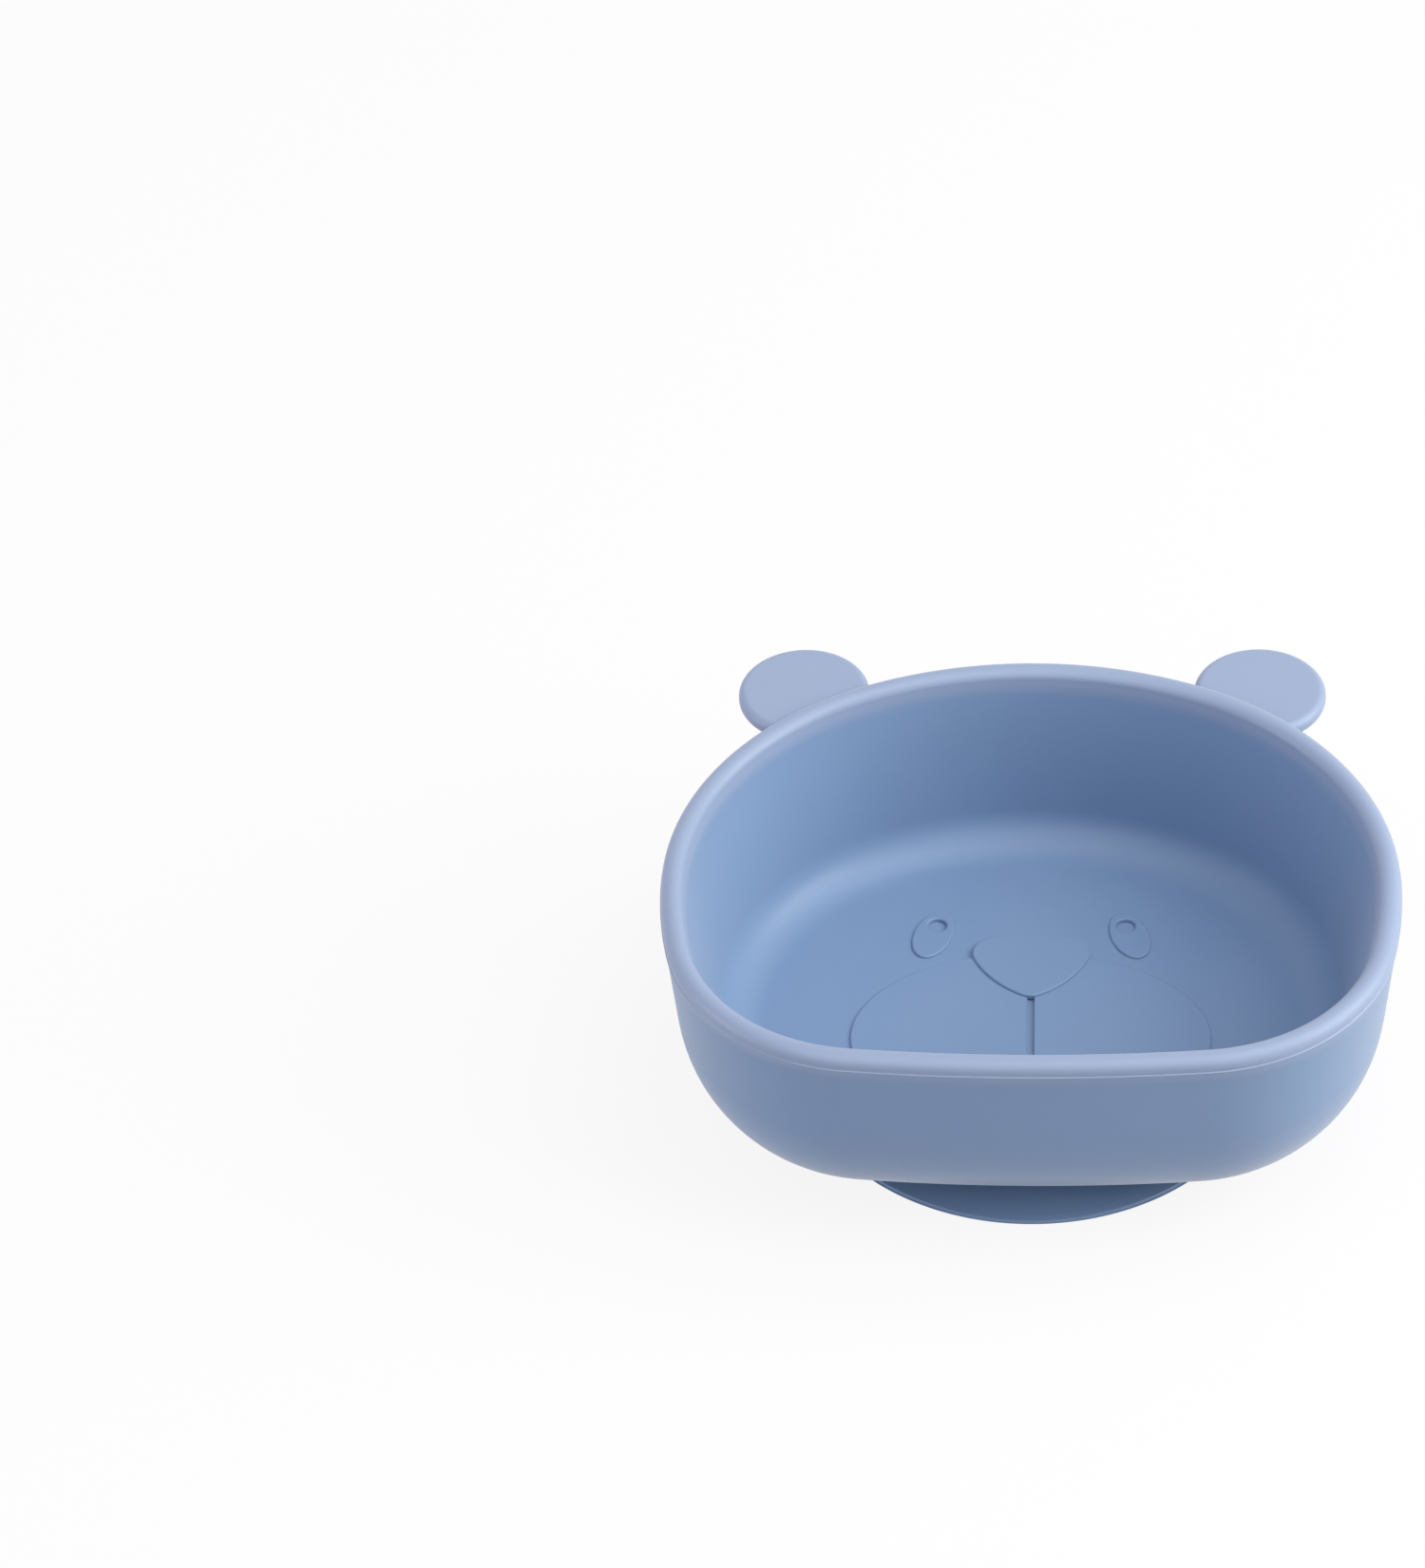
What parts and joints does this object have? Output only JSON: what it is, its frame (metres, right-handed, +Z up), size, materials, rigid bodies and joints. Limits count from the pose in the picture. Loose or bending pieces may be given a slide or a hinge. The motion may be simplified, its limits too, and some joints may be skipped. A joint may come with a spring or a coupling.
{
  "type": "suction bowl",
  "caption": "Child's silicone feeding bowl shaped as a bear's head, with flat ears, a face in relief on its floor and a pull-off suction base with a release tab.",
  "frame": {"origin": "on the table, under the middle of the outline with its ears", "axes": "+X to the right across the face, +Y towards the ears at the back, +Z up out of the bowl"},
  "size_m": [0.1342, 0.1162, 0.0514],
  "materials": {
    "bowl_silicone": "matte moulded silicone",
    "base_silicone": "matte moulded silicone, smooth under the lip"
  },
  "bodies": {
    "bowl": {"bowl_shell": "bowl_silicone"},
    "hub": {"suction_hub": "base_silicone"},
    "skirt": {"suction_skirt": "base_silicone"},
    "tab": {"release_tab": "base_silicone"}
  },
  "joints": [
    {"name": "base_pull", "type": "slide", "parent": "bowl", "child": "hub", "axis": [0, 0, -1], "range_m": [0, 0.02]},
    {"name": "suction_press", "type": "slide", "parent": "hub", "child": "skirt", "axis": [0, 0, 1], "range_m": [0, 0.0018], "stiffness_N_per_m": 500, "springref_m": -0.004, "deforming": ["suction_skirt"]},
    {"name": "tab_lift", "type": "hinge", "parent": "skirt", "child": "tab", "pos_m": [0, 0.04175, 0.0012], "axis": [1, 0, 0], "range_deg": [0, 50], "stiffness_Nm_per_rad": 0.001}
  ]
}
